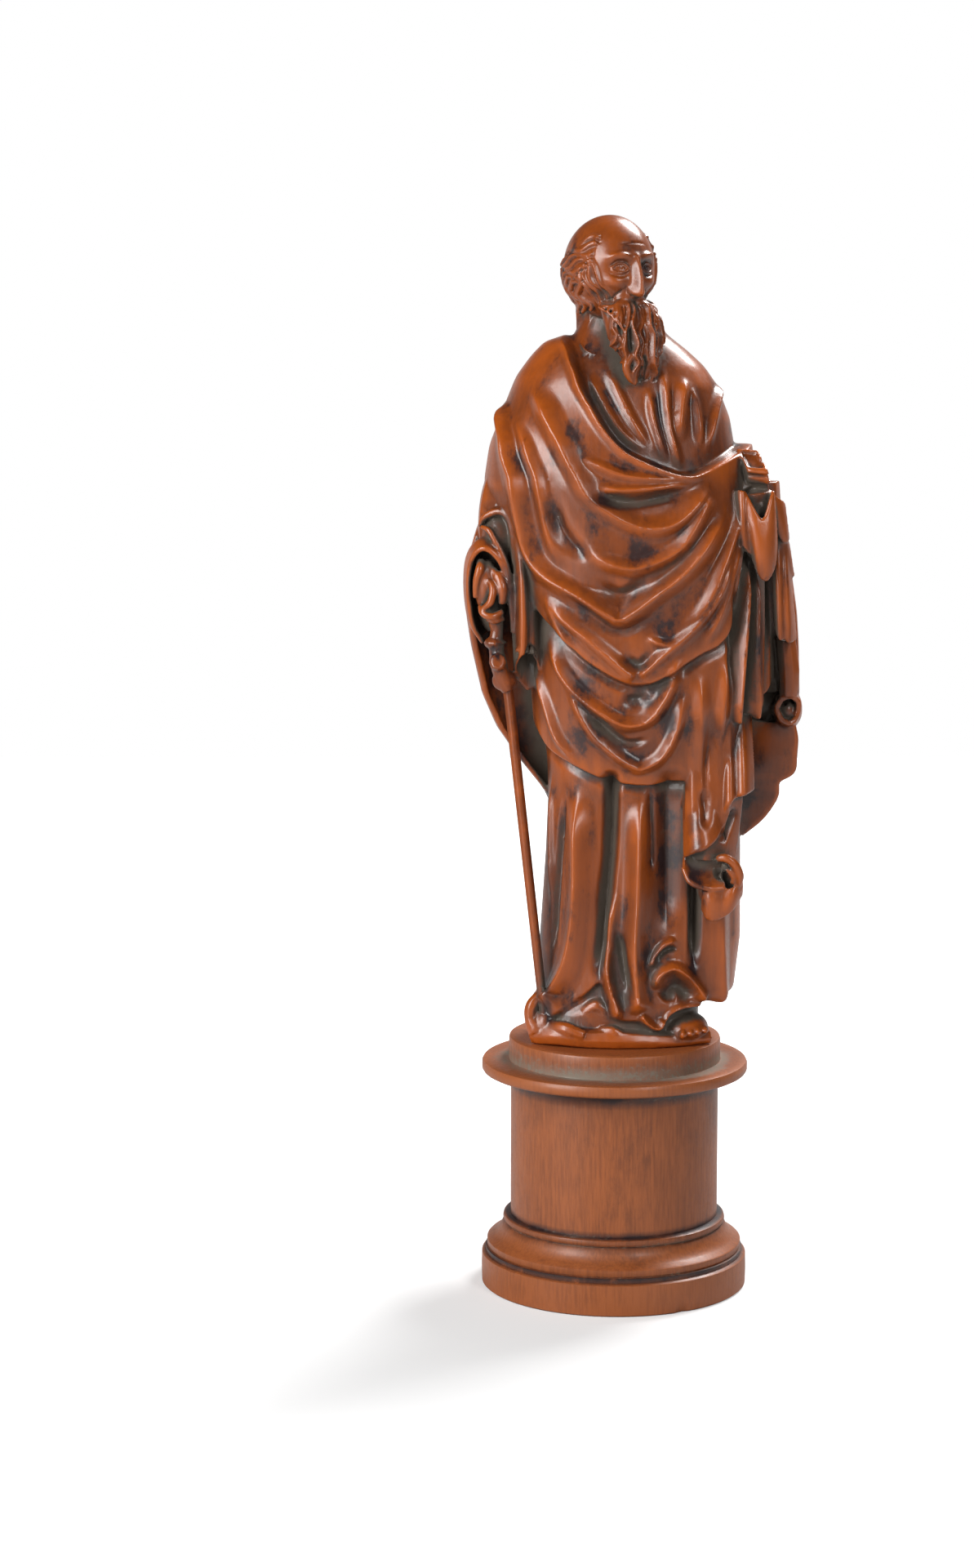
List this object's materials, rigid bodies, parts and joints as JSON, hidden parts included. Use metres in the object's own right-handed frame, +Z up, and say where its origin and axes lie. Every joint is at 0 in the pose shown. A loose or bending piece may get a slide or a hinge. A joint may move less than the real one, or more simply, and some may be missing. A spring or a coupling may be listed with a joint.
{
  "type": "wooden saint statue",
  "caption": "Carved boxwood figure of a bearded saint in a draped mantle, sword in one hand and book in the other, standing on a turned round plinth.",
  "frame": {"origin": "centre of the plinth's flat underside, on the axis that the plinth is turned on", "axes": "+Z up along the plinth's axis; the figure's front looks along -Y, and its right arm with the sword is at -X"},
  "size_m": [0.0876, 0.0698, 0.2794],
  "materials": {
    "boxwood": "old polish over reddish-brown boxwood, grey-brown grime in the recesses",
    "fruitwood": "waxed brown fruitwood, turned, with dust in its grooves"
  },
  "bodies": {
    "root": {"figure": "boxwood", "turned_plinth": "fruitwood"}
  },
  "joints": []
}
